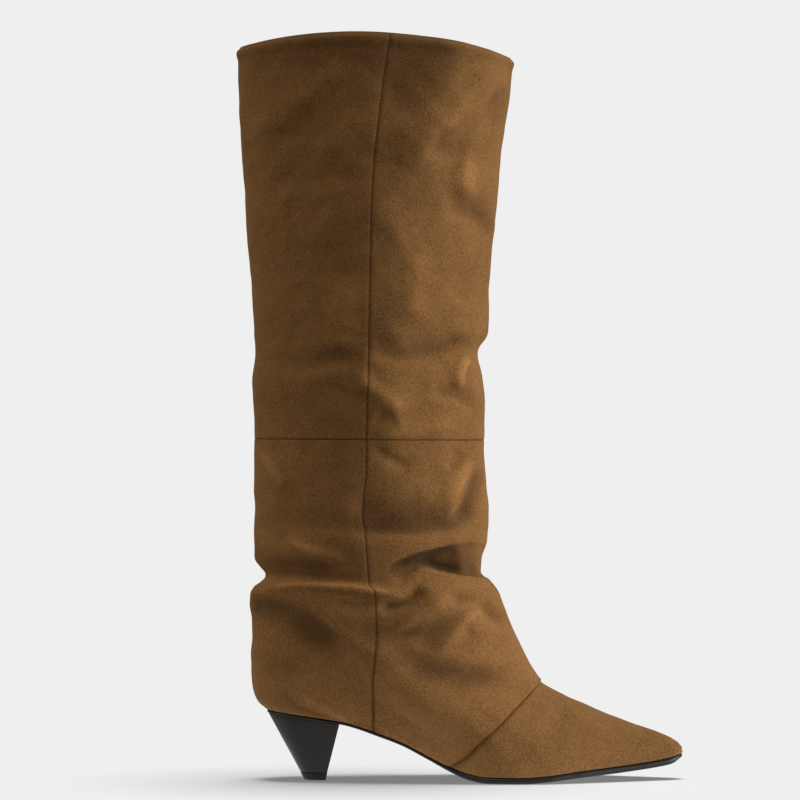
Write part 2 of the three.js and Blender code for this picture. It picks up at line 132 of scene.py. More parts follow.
# Rings round the leather from the sole's edge to the collar. backX and frontX: of LENGTH. backZ
# and frontZ: levels, 1 at the ankle and 2 at the collar. sag: how much of the sole's arch the ring
# follows. arch: rise of its sides, of BOOT_HEIGHT. girth: size of the sole's outline in it. oval:
# 0 is that outline and 1 an oval, breadth of SHAFT_BREADTH. skew: under 1 is wider at the back.
SECTION_COLUMNS = ("backX", "backZ", "frontX", "frontZ", "sag", "arch", "girth", "oval",
                   "breadth", "skew")
SECTION_ROWS = [
    [0, 0, 1, 0, 1, 0, 1, 0, 0.6, 0.85],
    [-0.021, 0.061, 1.002, 0.036, 1, 0, 1.06, 0, 0.62, 0.85],
    [-0.034, 0.172, 0.995, 0.064, 1, 0, 1.1, 0, 0.64, 0.85],
    [-0.038, 0.293, 0.974, 0.101, 0.95, 0, 1.12, 0.08, 0.68, 0.85],
    [-0.038, 0.419, 0.901, 0.172, 0.85, 0, 1.12, 0.25, 0.76, 0.85],
    [-0.035, 0.556, 0.804, 0.255, 0.7, 0, 1.1, 0.55, 0.8, 0.87],
    [-0.036, 0.677, 0.718, 0.336, 0.5, 0, 1.08, 0.85, 0.82, 0.9],
    [-0.041, 0.788, 0.657, 0.426, 0.35, 0, 1.05, 1, 0.84, 0.92],
    [-0.041, 0.864, 0.618, 0.579, 0.25, 0, 1, 1, 0.85, 0.94],
    [-0.033, 0.924, 0.583, 0.752, 0.15, 0, 1, 1, 0.85, 0.96],
    [-0.016, 0.97, 0.555, 0.917, 0.1, 0, 1, 1, 0.83, 0.98],
    [-0.007, 1.003, 0.529, 0.994, 0.05, 0, 1, 1, 0.82, 1],
    [-0.017, 1.015, 0.515, 1.01, 0, 0, 1, 1, 0.84, 1],
    [-0.031, 1.036, 0.517, 1.034, 0, 0, 1, 1, 0.88, 1],
    [-0.031, 1.076, 0.53, 1.071, 0, 0, 1, 1, 0.92, 1],
    [-0.029, 1.127, 0.533, 1.124, 0, 0, 1, 1, 0.94, 1],
    [-0.031, 1.196, 0.525, 1.195, 0, 0, 1, 1, 0.94, 1],
    [-0.029, 1.257, 0.524, 1.255, 0, 0, 1, 1, 0.94, 1],
    [-0.031, 1.317, 0.524, 1.323, 0, 0, 1, 1, 0.95, 1],
    [-0.036, 1.369, 0.519, 1.371, 0, 0, 1, 1, 0.96, 1],
    [-0.029, 1.414, 0.508, 1.417, 0, 0, 1, 1, 0.96, 1],
    [-0.03, 1.459, 0.533, 1.458, 0, 0, 1, 1, 0.97, 1],
    [-0.037, 1.529, 0.534, 1.522, 0, 0, 1, 1, 0.98, 1],
    [-0.043, 1.589, 0.541, 1.59, 0, 0, 1, 1, 0.99, 1],
    [-0.05, 1.686, 0.553, 1.681, 0, 0, 1, 1, 1, 1],
    [-0.058, 1.786, 0.565, 1.786, 0, 0.002, 1, 1, 0.98, 1],
    [-0.068, 1.894, 0.583, 1.886, 0, 0.01, 1, 1, 0.95, 1],
    [-0.072, 1.986, 0.595, 1.965, 0, 0.0225, 1, 1, 0.92, 1],
]
SECTIONS = dict(zip(SECTION_COLUMNS, np.array(SECTION_ROWS).T))
CROSS_SEAM_ROW = 17
COLLAR_ROW = len(SECTION_ROWS) - 1
VAMP_TOP_ROW = 7.6

# Seams from the side: x of the side seam by height, and the front edge of the lower leg
SIDE_SEAM = {
    "z": [35, 56, 75, 96, 117, 122, 137, 152, 162, 175, 191, 209, 246, 295, 361, 429, 456],
    "x": [65.7, 66.1, 66.9, 67.7, 66.9, 63.3, 62.1, 60.8, 59, 59.7, 61.8, 61.8, 62.7, 63.6,
          65.2, 72.2, 76.4],
}
VAMP_SEAM = {
    "z": [3, 10, 15, 26, 38, 50, 61, 75],
    "x": [105, 112, 119.5, 131, 144.5, 157, 169, 184],
}

# Folds, given one by one: side, depth, left, right, line. side: -1 outer, 1 inner. depth: inwards,
# so
# a ridge is negative. line: points along it, x and z. left and right: how far the fold spreads on
# the two sides of its line, going along it with the toe on the right. For a line towards the toe,
# they are above and below.
FOLDS = [
    # outer side, over the slouch
    (-1, -0.9, 1.6, 2.2, [(60, 151.5), (72, 151), (84, 151), (97, 152.5), (112, 155.5)]),
    (-1, 1.8, 10, 6, [(-6, 161), (10, 160), (28, 158), (46, 157), (66, 156)]),
    (-1, 4.8, 12, 5.2, [(46, 157), (59, 155.5), (76, 154.5), (91, 154.5), (106, 157), (132, 161)]),
    (-1, 2.7, 7, 8, [(-34, 140), (-12, 137), (-2, 134.5), (12, 132), (27, 132), (41, 135),
                     (58, 141)]),
    (-1, -3.0, 4, 3, [(14, 151), (21, 145.5), (30, 141), (41, 137.5), (49, 135)]),
    (-1, 1.4, 6, 5, [(-10, 160), (4, 152), (16, 146)]),
    (-1, -1.6, 5, 5, [(-7, 206), (1, 197), (9, 186.5), (16, 178)]),
    (-1, 1.2, 3, 4, [(65, 206), (73, 200), (82, 195.5), (90, 194)]),
    (-1, 2.3, 12, 9, [(48, 172), (62, 170), (77, 169), (91, 169), (105, 172)]),
    (-1, -2.8, 7, 4.2, [(108, 156), (111.5, 164.5), (114, 173), (118, 182), (123, 191.5),
                        (131, 200)]),
    (-1, 3.8, 5, 7, [(119.5, 156), (123, 166), (126.5, 177), (131, 188), (136, 196)]),
    (-1, -1.2, 3.2, 3.0, [(115, 148), (119, 141), (121.5, 134), (123, 129), (125, 123)]),
    (-1, 1.3, 4, 4, [(110, 191.5), (115.5, 197.5), (120, 203.5)]),
    # outer side, the bulge under the pinch
    (-1, -2.9, 2.8, 2.3, [(-9, 113.5), (0, 117.5), (12, 120), (27, 120.5), (46, 120), (64, 118),
                          (79, 115.5), (89, 113)]),
    (-1, 4.6, 8.5, 10, [(-30, 104), (-9, 106.5), (3, 105.5), (15, 102.5), (24, 98), (34, 92),
                        (46, 87), (56, 84)]),
    (-1, 2.0, 4, 5, [(38, 110), (50, 109), (63, 109), (74, 109)]),
    (-1, -1.7, 2.6, 2.8, [(25, 112.5), (31, 109), (38, 102), (45.5, 94), (50.5, 89)]),
    # outer side, instep
    (-1, 3.6, 4, 4, [(66, 108), (75, 108.5), (82, 109.5), (89, 113), (95.5, 118.5), (99, 122)]),
    (-1, -1.7, 3.8, 3.2, [(74, 92), (79.5, 94.5), (88, 100), (97, 105), (106, 109.5), (114, 112)]),
    (-1, 3.0, 8, 9, [(44, 96), (54, 94), (66, 92), (78, 91), (88, 92), (98, 94), (107, 98),
                     (115, 104), (124, 112)]),
    (-1, -2.7, 6, 4, [(103, 78), (109, 86), (114.5, 93.5), (121, 100), (128, 105), (137, 109.5)]),
    (-1, 3.0, 5, 5, [(106, 117), (113, 114.5), (119, 112.5), (125, 110), (132, 106.5), (138, 103),
                     (146, 98), (152, 93)]),
    (-1, -1.6, 5, 5, [(122, 92), (130.5, 93), (138, 87)]),
    (-1, -1.5, 5, 5, [(76, 93), (81, 89), (89, 83.5), (99, 79), (112.5, 76), (130.5, 75),
                      (156, 74)]),
    (-1, 2.3, 7, 8, [(78, 70), (97, 68), (115.5, 65.5), (133.5, 64.5), (152, 67.5)]),
    # outer side, heel quarter
    (-1, -2.0, 1.6, 2.4, [(14, 53.5), (24, 50.5), (36.5, 45), (48.5, 39.5), (56.5, 36)]),
    (-1, 0.9, 2.2, 2.2, [(12, 48), (24, 45), (34, 41.5), (48, 36.5)]),
    (-1, 0.9, 8, 8, [(-2, 71), (9, 69), (21, 76)]),
    # outer side, shin fold
    (-1, 3.0, 5.5, 5, [(62, 261), (76, 260.5), (100, 263.5), (118.5, 270.5), (129.5, 278)]),
    (-1, 1.3, 7, 5, [(-2, 255), (21, 254), (39.5, 257), (50, 259.5), (60, 262)]),
    (-1, -2.9, 4, 3.5, [(119, 239), (118, 247), (120, 255), (126, 262)]),
    (-1, 2.3, 4.5, 5, [(98, 241), (112, 238), (122, 234.5), (132, 230)]),
    (-1, -2.2, 6, 6, [(51, 250), (59, 246), (66, 241), (73, 235), (81, 230), (89, 226)]),
    (-1, 1.3, 5, 5, [(66, 224), (73, 221), (80, 223)]),
    (-1, -1.6, 9, 7, [(62, 214), (78, 215), (94, 217), (108, 219), (124, 223)]),
    (-1, -2.0, 12, 10, [(40, 258), (44, 274), (47, 292), (49, 312)]),
    (-1, 1.2, 8, 7, [(24, 240), (40, 239), (56, 242)]),
    # outer side, upper shaft
    (-1, 2.2, 24, 22, [(80, 392), (84, 410), (88, 430), (89, 448), (86, 466), (80, 486)]),
    (-1, -1.2, 8, 7, [(-22, 388), (-2, 400), (12, 409), (24, 417), (39.5, 428.5), (58, 441)]),
    (-1, 0.6, 9, 9, [(4, 392), (20, 395), (34, 403), (50, 413), (64, 420)]),
    (-1, 1.2, 12, 9, [(4, 372), (24, 369), (44, 371), (60, 376)]),
    (-1, -2.8, 12, 7, [(98, 388), (104, 396), (114, 406), (122, 418), (131, 429), (141, 436),
                       (150, 440)]),
    (-1, 2.4, 9, 8, [(98, 392), (112, 386), (124, 384)]),
    (-1, -1.1, 3.5, 3.5, [(77, 378), (84, 383), (93, 389), (106, 397.5)]),
    (-1, -2.3, 9, 8, [(125, 386), (122, 376), (122, 366), (124, 358), (128, 350)]),
    (-1, 3.2, 8, 8, [(106, 357), (116, 354), (126, 350), (137, 343), (150, 334)]),
    (-1, 1.8, 10, 10, [(135, 424), (142, 412), (146, 398)]),
    (-1, -1.1, 9, 9, [(67, 358), (75, 344), (83, 333), (89, 322)]),
    (-1, -1.5, 9, 9, [(92, 330), (92, 312), (91, 294), (93, 276)]),
    (-1, 1.6, 9, 9, [(118, 318), (124, 302), (118, 290)]),
    (-1, 1.0, 9, 9, [(10, 352), (24, 352), (38, 344)]),
    # inner side
    (1, 3.4, 9, 6, [(20, 156), (44, 158), (68, 155), (96, 156), (124, 160)]),
    (1, 4.4, 6.5, 7, [(-12, 132), (4, 129), (24, 125.5), (44, 128), (58, 134)]),
    (1, -3.2, 3.6, 3, [(-8, 113), (10, 118), (30, 118.5), (52, 116), (78, 118)]),
    (1, 3.8, 7, 9, [(-6, 106), (14, 103), (30, 97), (46, 95), (60, 99)]),
    (1, -2.9, 3.5, 4, [(34, 90), (48, 96), (64, 106), (78, 112)]),
    (1, -3.0, 4, 3.5, [(18, 146), (34, 142), (52, 139), (68, 142)]),
    (1, -3.5, 4, 5, [(84, 166), (98, 178), (112, 190), (126, 197)]),
    (1, 2.2, 5, 6, [(98, 162), (112, 174), (128, 182)]),
    (1, -2.9, 3.5, 3, [(76, 104), (92, 109), (108, 116), (120, 122)]),
    (1, 2.8, 4.5, 5, [(80, 94), (96, 99), (110, 106), (124, 112)]),
    (1, 2.0, 5, 5, [(106, 82), (120, 90), (134, 100)]),
    (1, -1.6, 2, 2.4, [(12, 55), (28, 50), (44, 43)]),
    (1, 1.4, 9, 9, [(0, 84), (24, 76), (50, 70)]),
    (1, 1.4, 6, 8, [(96, 68), (120, 64), (146, 68)]),
    (1, 3.0, 6, 5, [(58, 260), (84, 262), (112, 266), (134, 274)]),
    (1, 2.0, 7, 6, [(-4, 250), (18, 252), (40, 256), (56, 262)]),
    (1, -2.6, 4, 4, [(74, 246), (94, 240), (112, 232)]),
    (1, 2.2, 6, 6, [(94, 232), (112, 227), (132, 224)]),
    (1, 2.2, 10, 9, [(90, 352), (116, 346), (142, 338)]),
    (1, -2.9, 8, 8, [(80, 404), (104, 398), (134, 386)]),
    (1, 1.8, 10, 10, [(-10, 330), (18, 318), (48, 308)]),
    (1, -2.6, 8, 7, [(-12, 404), (20, 420), (50, 426)]),
    (1, 1.6, 10, 10, [(60, 320), (78, 300), (100, 290)]),
]

# Where the leather is fuller than its sections, in the columns of FOLDS. It changes the shape and
# not the tone.
FULLNESS = [
    (-1, -1.8, 16, 12, [(86, 375), (82, 335), (80, 290), (78, 235), (76, 180), (75, 150)]),
    (-1, -2.5, 14, 26, [(138, 480), (132, 442), (121, 414), (108, 394), (96, 372), (88, 346)]),
    (-1, -4.2, 12, 28, [(124, 490), (117, 460), (110, 436), (101, 412), (92, 392), (84, 370)]),
    (-1, -3.7, 20, 24, [(106, 126), (111, 107), (119, 89), (132, 68)]),
    (-1, -3.0, 14, 12, [(50, 68), (70, 60), (90, 48), (108, 34), (124, 20)]),
    (1, -3.0, 14, 12, [(50, 68), (70, 60), (90, 48), (108, 34), (124, 20)]),
]

# Deep pockets between two lips, open to the front. side: as in FOLDS. tip: the x from which the
# lower lip is sharp. upper and lower: the lips, points in x and z.
POCKETS = [
    {"side": -1, "depth": 8.5, "tip": 94,
     "upper": [(70, 125), (72, 128), (74.5, 132), (80, 136), (90, 140), (102, 143), (116.5, 146),
               (125, 147), (133, 145), (150, 144)],
     "lower": [(66, 118), (74, 120.5), (82, 124), (90, 129), (95.5, 132.2), (100, 131.8),
               (106.5, 129.7), (117, 127.5), (127, 126), (135, 124.5), (150, 124)]},
    {"side": 1, "depth": 4.6, "tip": 106,
     "upper": [(78, 120), (90, 126), (102, 133), (114, 139), (126, 143), (150, 146)],
     "lower": [(78, 117), (90, 119), (102, 123), (114, 124), (128, 124), (150, 124)]},
]

# Patches of painted shade, at the collar and over the instep and the heel quarter: middle x and z,
# reach in x and z, and how much. It is counted as mm of fold depth, because the painted shade of
# folds darkens the nap in the same way.
PAINTED_SHADE_PATCHES = [
    (80, 458, 200, 40, 3.2),
    (122, 72, 34, 17, 2.2),
    (24, 74, 30, 20, 1.7),
]


def hermite(places, values, at):
    """A smooth curve through values at places: cubic pieces whose slope at a place is the harmonic
    mean of the slopes on its two sides, or 0 where they differ in sign, so that it never
    overshoots. Beyond its ends it stays as it is there."""
    places = np.asarray(places, float)
    values = np.asarray(values, float)
    steps = np.diff(values) / np.diff(places)
    same_way = steps[:-1] * steps[1:] > 0
    total = np.where(same_way, steps[:-1] + steps[1:], 1)
    inner = np.where(same_way, 2 * steps[:-1] * steps[1:] / total, 0)
    slopes = np.concatenate([steps[:1], inner, steps[-1:]])
    at = np.clip(at, places[0], places[-1])
    i = np.clip(np.searchsorted(places, at, side="right") - 1, 0, len(places) - 2)
    width = places[i + 1] - places[i]
    t = (at - places[i]) / width
    rest = 1 - t
    return (values[i] * rest * rest * (1 + 2 * t) + values[i + 1] * t * t * (3 - 2 * t)
            + width * t * rest * (slopes[i] * rest - slopes[i + 1] * t))


def smoothstep(x, low, high):
    """0 up to low, 1 from high on, and between them 3 t squared less 2 t cubed, t the share of the
    way from low to high."""
    t = np.clip((x - low) / (high - low), 0, 1)
    return t * t * (3 - 2 * t)


def bell(distance, width):
    """e to the power of minus the square of distance over width."""
    return np.exp(-(distance / width) ** 2)


def outline(name, angle):
    """Half width or lean of the sole in mm. The table is read by angle, whose cosine runs from 1 at
    the heel to -1 at the toe, so that both ends are round."""
    places = np.arccos(1 - 2 * np.asarray(OUTLINE["at"], float))
    return hermite(places, OUTLINE[name], angle) * BALL_WIDTH


def profile(name, share):
    """One column of the sole's profile at a share of its length."""
    return hermite(PROFILE["at"], PROFILE[name], share)


def sole_top(share):
    """Height of the sole's top in mm at a share of the length: its height under the ball, plus the
    heel's share of the lift to the seat, plus the toe's share of the toe spring."""
    ball = SOLE_THICKNESS[2]
    lift = profile("heel", share) * (SEAT_HEIGHT - ball)
    return ball + lift + profile("toe", share) * TOE_SPRING


def sole_bottom(share):
    """Height of the sole's underside in mm: its top less its thickness."""
    thickness = hermite(range(len(SOLE_THICKNESS)), SOLE_THICKNESS, profile("thick", share))
    return sole_top(share) - thickness


TOE_HEIGHT = float(sole_top(1.0))


def height_at(level, base):
    """Height of a level: from base at 0 to the ankle at 1, and on to the collar at 2."""
    low = base + level * (ANKLE_HEIGHT - base)
    high = ANKLE_HEIGHT + (level - 1) * (BOOT_HEIGHT - ANKLE_HEIGHT)
    return np.where(level < 1, low, high)


def section(name, row):
    """One column of the section table at any row, also between rows."""
    return hermite(np.arange(len(SECTION_ROWS)), SECTIONS[name], row)


def ring_point(row, share, angle):
    """x and z of a ring in mm, at a share of its way from back to front: a straight line from its
    back point to its front point, less the sole's arch, plus the rise of its sides."""
    back_z = height_at(section("backZ", row), SEAT_HEIGHT)
    front_z = height_at(section("frontZ", row), TOE_HEIGHT)
    arch = SEAT_HEIGHT + (TOE_HEIGHT - SEAT_HEIGHT) * share - sole_top(share)
    rise = section("arch", row) * BOOT_HEIGHT * np.sin(angle) ** 2
    back_x = section("backX", row)
    x = (back_x + (section("frontX", row) - back_x) * share) * LENGTH
    return x, back_z + (front_z - back_z) * share - section("sag", row) * arch + rise


def surface(row, turn):
    """Smooth outer surface of the leather in mm. turn: 0 at the back, -1 or 1 at the front,
    negative on the outer side. A ring's half breadth is a mix, by its oval, of the sole's half
    width and of a superellipse: 1 less the cosine to the power of SIDE_ROUND, to the power of
    1 / SIDE_ROUND."""
    row, turn = np.broadcast_arrays(np.clip(row, 0, COLLAR_ROW), (np.asarray(turn) + 1) % 2 - 1)
    side = np.where(turn < 0, -1, 1)
    angle = np.abs(turn) * np.pi
    share = (1 - np.cos(angle)) / 2
    x, z = ring_point(row, share, angle)
    oval = section("oval", row)
    skew = section("skew", row)
    skewed = angle ** skew * np.pi ** (1 - skew)
    oval_half = (1 - np.abs(np.cos(skewed)) ** SIDE_ROUND) ** (1 / SIDE_ROUND)
    half = ((1 - oval) * section("girth", row) * outline("half", angle)
            + oval * oval_half * section("breadth", row) * SHAFT_BREADTH / 2)
    lean = (1 - oval) * outline("lean", angle)
    return np.stack([x, lean + side * half, z], -1)


def outward(row, turn, reach=0.006, rise=0.08):
    """Unit normals of the smooth surface: the cross product of its directions up and round, each
    the difference of two points on either side."""
    along = surface(row, turn + reach) - surface(row, turn - reach)
    up = surface(row + rise, turn) - surface(row - rise, turn)
    normals = np.cross(up, along)
    return normals / np.maximum(np.linalg.norm(normals, axis=-1, keepdims=True), 1e-9)


def smooth_line(points, count):
    """A smooth line through given points, as count points evenly spaced by chord."""
    points = np.asarray(points, float)
    chord = np.concatenate([[0], np.cumsum(np.linalg.norm(np.diff(points, axis=0), axis=1))])
    at = np.linspace(0, chord[-1], count)
    return np.stack([hermite(chord, points[:, k], at) for k in (0, 1)], -1)


def line_field(points, normals, lines):
    """How far folds push each point in, in mm, seen from the side. Each adds its depth times e to
    the power of minus the squared distance from its line over its spread on that side, and fades
    over LINE_END of its length at both ends and where the surface turns away from its side."""
    x, z = points[..., 0].ravel(), points[..., 2].ravel()
    facing = normals[..., 1].ravel()
    total = np.zeros(len(x))
    for side, depth, left, right, line in lines:
        curve = smooth_line(line, LINE_POINTS)
        reach = LINE_REACH * max(left, right)
        low, high = curve.min(0) - reach, curve.max(0) + reach
        near = ((facing * side > TURNED_AWAY) & (x > low[0]) & (x < high[0])
                & (z > low[1]) & (z < high[1]))
        if not near.any():
            continue
        start, step = curve[:-1], np.diff(curve, axis=0)
        place = np.stack([x[near], z[near]], -1)[:, None, :] - start[None]
        t = np.clip((place * step).sum(-1) / (step ** 2).sum(-1), 0, 1)
        offset = place - t[..., None] * step
        distance = np.linalg.norm(offset, axis=-1)
        nearest = distance.argmin(1)
        rows = np.arange(len(nearest))
        gap, cross = distance[rows, nearest], offset[rows, nearest]
        on_left = cross[:, 1] * step[nearest, 0] - cross[:, 0] * step[nearest, 1] > 0
        along = (nearest + t[rows, nearest]) / len(step)
        fade = (smoothstep(along, 0, LINE_END) * smoothstep(1 - along, 0, LINE_END)
                * smoothstep(facing[near] * side, TURNED_AWAY, FOLD_SEEN))
        total[near] += depth * bell(gap, np.where(on_left, left, right)) * fade
    return total.reshape(points.shape[:-1])


def pocket_field(points, normals):
    """How deep the pockets are at each point in mm, and the painted shade that their lips put on
    it, counted as mm of fold depth. The depth is 0 outside the lips, little under the upper lip and
    most over the lower one, and grows from the closed end to the tip. The painted shade is
    strongest just under the upper lip and just over the lower one."""
    x, z, facing = points[..., 0], points[..., 2], normals[..., 1]
    total = np.zeros(x.shape)
    shade = np.zeros(x.shape)
    for pocket in POCKETS:
        side, tip = pocket["side"], pocket["tip"]
        end = pocket["upper"][0][0]
        top = hermite(*zip(*pocket["upper"]), x)
        bottom = hermite(*zip(*pocket["lower"]), x)
        down = np.clip((top - z) / np.maximum(top - bottom, 1), 0, 1)
        # the lower lip's edge is 13 mm wide before the tip, and 2 mm wide beyond it
        sharp = smoothstep(x, tip - 20, tip + 6)
        inside = (smoothstep(top - z, -0.7, 1.9)
                  * smoothstep(z - bottom, -7 + 6.2 * sharp, 6 - 4.9 * sharp))
        slope = 0.36 + 0.64 * smoothstep(x, tip - 6, tip + 10) * down ** 1.5
        open_by = smoothstep(x, end - 6, end + 34) * (1 - 0.4 * smoothstep(x, tip + 14, tip + 32))
        seen = (smoothstep(facing * side, TURNED_AWAY, POCKET_SEEN)
                * smoothstep(x, end + 2, end + 17))
        total += pocket["depth"] * slope * inside * open_by * seen
        # painted shade: over the whole pocket, and more under the upper lip and over the lower one
        under_lip = 12.5 * bell(top - z - 2.4, 4.0) * (1 - smoothstep(x, tip + 2, tip + 32))
        over_lip = 6.5 * bell(z - bottom - 1.6, 4.5) * smoothstep(x, tip - 4, tip + 8)
        at_front = 0.75 * smoothstep(x, tip + 22, tip + 34)
        shade += (3.2 + under_lip + over_lip) * inside * seen * (1 - at_front)
    return total, shade


def painted_patch_shade(points):
    """The painted shade of the patches at each point: the sum of the patches' amounts, each times
    the bells of the distances along x and z over its reaches."""
    total = np.zeros(points.shape[:-1])
    for x, z, reach_x, reach_z, amount in PAINTED_SHADE_PATCHES:
        total += amount * bell(points[..., 0] - x, reach_x) * bell(points[..., 2] - z, reach_z)
    return total


def waves(points, seed, size, count=10):
    """A smooth random height about -1 to 1: a sum of sine waves in random directions, of about
    the given length in mm."""
    rng = np.random.default_rng(seed)
    total = np.zeros(points.shape[:-1])
    for direction, phase, stretch in zip(rng.normal(size=(count, 3)), rng.uniform(0, 6.28, count),
                                         rng.uniform(0.7, 1.4, count)):
        direction = direction / np.linalg.norm(direction)
        total += np.sin(points @ direction * 2 * np.pi / (size * stretch) + phase)
    return total / math.sqrt(count)


def row_places(first, last, spacing, low_edge=(), high_edge=()):
    """Rows from first to last, about spacing mm apart, with extra ones at the given distances from
    each end. Also how far each lies from the first in mm, and how far the last does."""
    dense = np.linspace(first, last, 600)
    rings = surface(dense[:, None], np.array([0, -0.5, 1.0])[None])
    steps = np.linalg.norm(np.diff(rings, axis=0), axis=-1).max(1)
    length = np.concatenate([[0], np.cumsum(steps)])
    inner = np.arange(max(low_edge, default=0) + spacing, length[-1] - max(high_edge, default=0),
                      spacing)
    wanted = np.concatenate([[0], low_edge, inner, length[-1] - np.array(high_edge), [length[-1]]])
    wanted = np.unique(np.round(wanted, 4))
    return np.interp(wanted, length, dense), wanted, length[-1]


def turn_at(row, x_of_z, rounds=12):
    """The turn, 0 to 1, at which a ring crosses a line given as x by z. Each round takes the line's
    x at the ring's height there, and goes half of the way to it."""
    share = np.full(np.shape(row), 0.6)
    for _ in range(rounds):
        angle = np.arccos(1 - 2 * np.clip(share, 0, 1))
        _, z = ring_point(row, np.clip(share, 0, 1), angle)
        back, front = section("backX", row) * LENGTH, section("frontX", row) * LENGTH
        share = 0.5 * share + 0.5 * (x_of_z(z) - back) / (front - back)
    return np.arccos(1 - 2 * np.clip(share, 0, 1)) / np.pi


def side_seam_turn(row):
    """The turn at which a ring crosses the side seam."""
    return turn_at(row, lambda z: hermite(SIDE_SEAM["z"], SIDE_SEAM["x"], z))


def vamp_edge_turn(row, shift=0.0):
    """The turn at which a ring crosses the lower leg's front edge, or a line shift mm behind it."""
    return turn_at(row, lambda z: hermite(VAMP_SEAM["z"], VAMP_SEAM["x"], z) - shift)


def seam_columns(count_back, count_front, edge=False):
    """Columns of one side from the back (0) over the side seam (1) to the front (2), closer
    together at the seam, and at the front edge where there is one."""
    close = np.array([0.006, 0.012, 0.02, 0.03])
    back = np.concatenate([np.linspace(0, 1 - 0.045, count_back), 1 - close[::-1]])
    front = np.concatenate([1 + close, np.linspace(1 + 0.045, 2 - 0.045 * edge, count_front)])
    ends = 2 - np.concatenate([close[::-1], [0]]) if edge else []
    return np.concatenate([back, [1], front, ends])


# Meshes

def new_piece(name, vertices, faces, **attributes):
    """A smooth mesh object from points in the boot's own mm, with a float attribute for each
    keyword."""
    mesh = bpy.data.meshes.new(name)
    place = (vertices.reshape(-1, 3) + [FRAME_X, FRAME_Y, 0]) * MM
    mesh.from_pydata(place.tolist(), [], faces)
    for key, values in attributes.items():
        marks = mesh.attributes.new(key, "FLOAT", "POINT").data
        marks.foreach_set("value", values.ravel().astype(np.float32))
    mesh.polygons.foreach_set("use_smooth", np.full(len(mesh.polygons), True))
    mesh.update()
    piece = bpy.data.objects.new(name, mesh)
    bpy.context.scene.collection.objects.link(piece)
    return piece


def grid_faces(rows, columns, wraps):
    """Quads of a grid, seen from outside when the columns run clockwise from above and the rows go
    up."""
    j = np.arange(columns if wraps else columns - 1)
    k = np.arange(rows - 1)[:, None] * columns
    after = (j + 1) % columns
    quads = np.stack([k + j, k + columns + j, k + columns + after, k + after], -1)
    return quads.reshape(-1, 4)


def closed_tube(name, rings, material):
    """A closed piece from rings of points, with a flat cap at each end."""
    rows, count = rings.shape[:2]
    faces = grid_faces(rows, count, True)[:, ::-1].tolist()
    faces.append(list(range(count))[::-1])
    faces.append(list(range((rows - 1) * count, rows * count)))
    piece = new_piece(name, rings, faces)
    piece.data.materials.append(material)
    return piece


def without_doubles(vertices, faces, attributes, same_as):
    """Drops each vertex that is the same as another, and points the faces at that other one."""
    target = np.arange(len(vertices))
    target[same_as[:, 0]] = same_as[:, 1]
    kept = np.unique(target)
    number = np.full(len(vertices), -1)
    number[kept] = np.arange(len(kept))
    faces = number[target[faces]]
    return vertices[kept], faces, {key: value.ravel()[kept] for key, value in attributes.items()}


def leather_sheet(row, turn, seam_gap, under=0.0):
    """Points of the leather, and the mark of painted light on its nap: the folds' depth, which
    gives a painted highlight on ridges and painted shade in troughs, plus the painted shade of the
    pockets' lips and of the patches. Each point is the smooth surface pushed in along its normal by
    the folds and the fullness, which fade out at the sole, by the groove of the nearest seam and by
    under, and
    pushed out by small waves. seam_gap: distance to the nearest seam in mm."""
    smooth = surface(row, turn)
    normals = outward(row, turn)
    pockets, shade = pocket_field(smooth, normals)
    folds = line_field(smooth, normals, FOLDS) + pockets
    full = line_field(smooth, normals, FULLNESS)
    uneven = sum(height * waves(smooth, seed, size) for height, seed, size in UNEVEN)
    groove = (SEAM_GROOVE[0] * bell(seam_gap, SEAM_GROOVE[1])
              - SEAM_SWELL[0] * bell(seam_gap - SEAM_SWELL[1], SEAM_SWELL[2]))
    depth = (under + (folds + full) * smoothstep(row, 0, 1.2) - uneven * smoothstep(row, 0, 3)
             + groove)
    return smooth - normals * depth[..., None], folds + shade + painted_patch_shade(smooth)


def leg_turn(columns, seam, front):
    """The turn of each column of a ring: 0 to 1 runs from the back to the side seam, and 1 to 2 on
    from there to the front. Columns under 0 lie on the outer side."""
    amount = np.abs(columns)[None]
    turn = np.where(amount < 1, amount * seam, seam + (amount - 1) * (front - seam))
    return turn * np.sign(columns)


def finish_sheet(piece, materials):
    """Gives an open sheet its wall, inwards, with the lining on its inner side."""
    for material in materials:
        piece.data.materials.append(material)
    solid = piece.modifiers.new("wall", "SOLIDIFY")
    solid.thickness = WALL * MM
    solid.offset = -1
    solid.material_offset = 1
    solid.material_offset_rim = 0
    return piece


def make_shaft(materials):
    """Upper leg: full rings from the cross seam to the collar, whose edge is rolled in."""
    rows, place, length = row_places(CROSS_SEAM_ROW, COLLAR_ROW, 1.9, SEAM_ROWS, COLLAR_ROWS)
    side = seam_columns(58, 54)
    columns = np.concatenate([-side[:0:-1], side[:-1]])
    seam = side_seam_turn(rows)[:, None]
    turn = leg_turn(columns, seam, 1)
    seam_gap = np.minimum(np.abs(np.abs(turn) - seam) * HALF_GIRTH, place[:, None])
    from_top = np.broadcast_to(length - place[:, None], turn.shape)
    roll = (COLLAR_ROLL[0] * bell(from_top, COLLAR_ROLL[1])
            - COLLAR_SWELL[0] * bell(from_top - COLLAR_SWELL[1], COLLAR_SWELL[2]))
    # the second value is the mark of painted highlight and painted shade on the nap
    points, nap_and_painted_light = leather_sheet(rows[:, None], turn, seam_gap, roll)
    piece = new_piece("leg_shaft", points, grid_faces(len(rows), len(columns), True).tolist(),
                      fold=nap_and_painted_light, seam=bell(seam_gap, SEAM_LINE),
                      edge=bell(from_top, DARK_EDGE["collar"]))
    return finish_sheet(piece, materials)


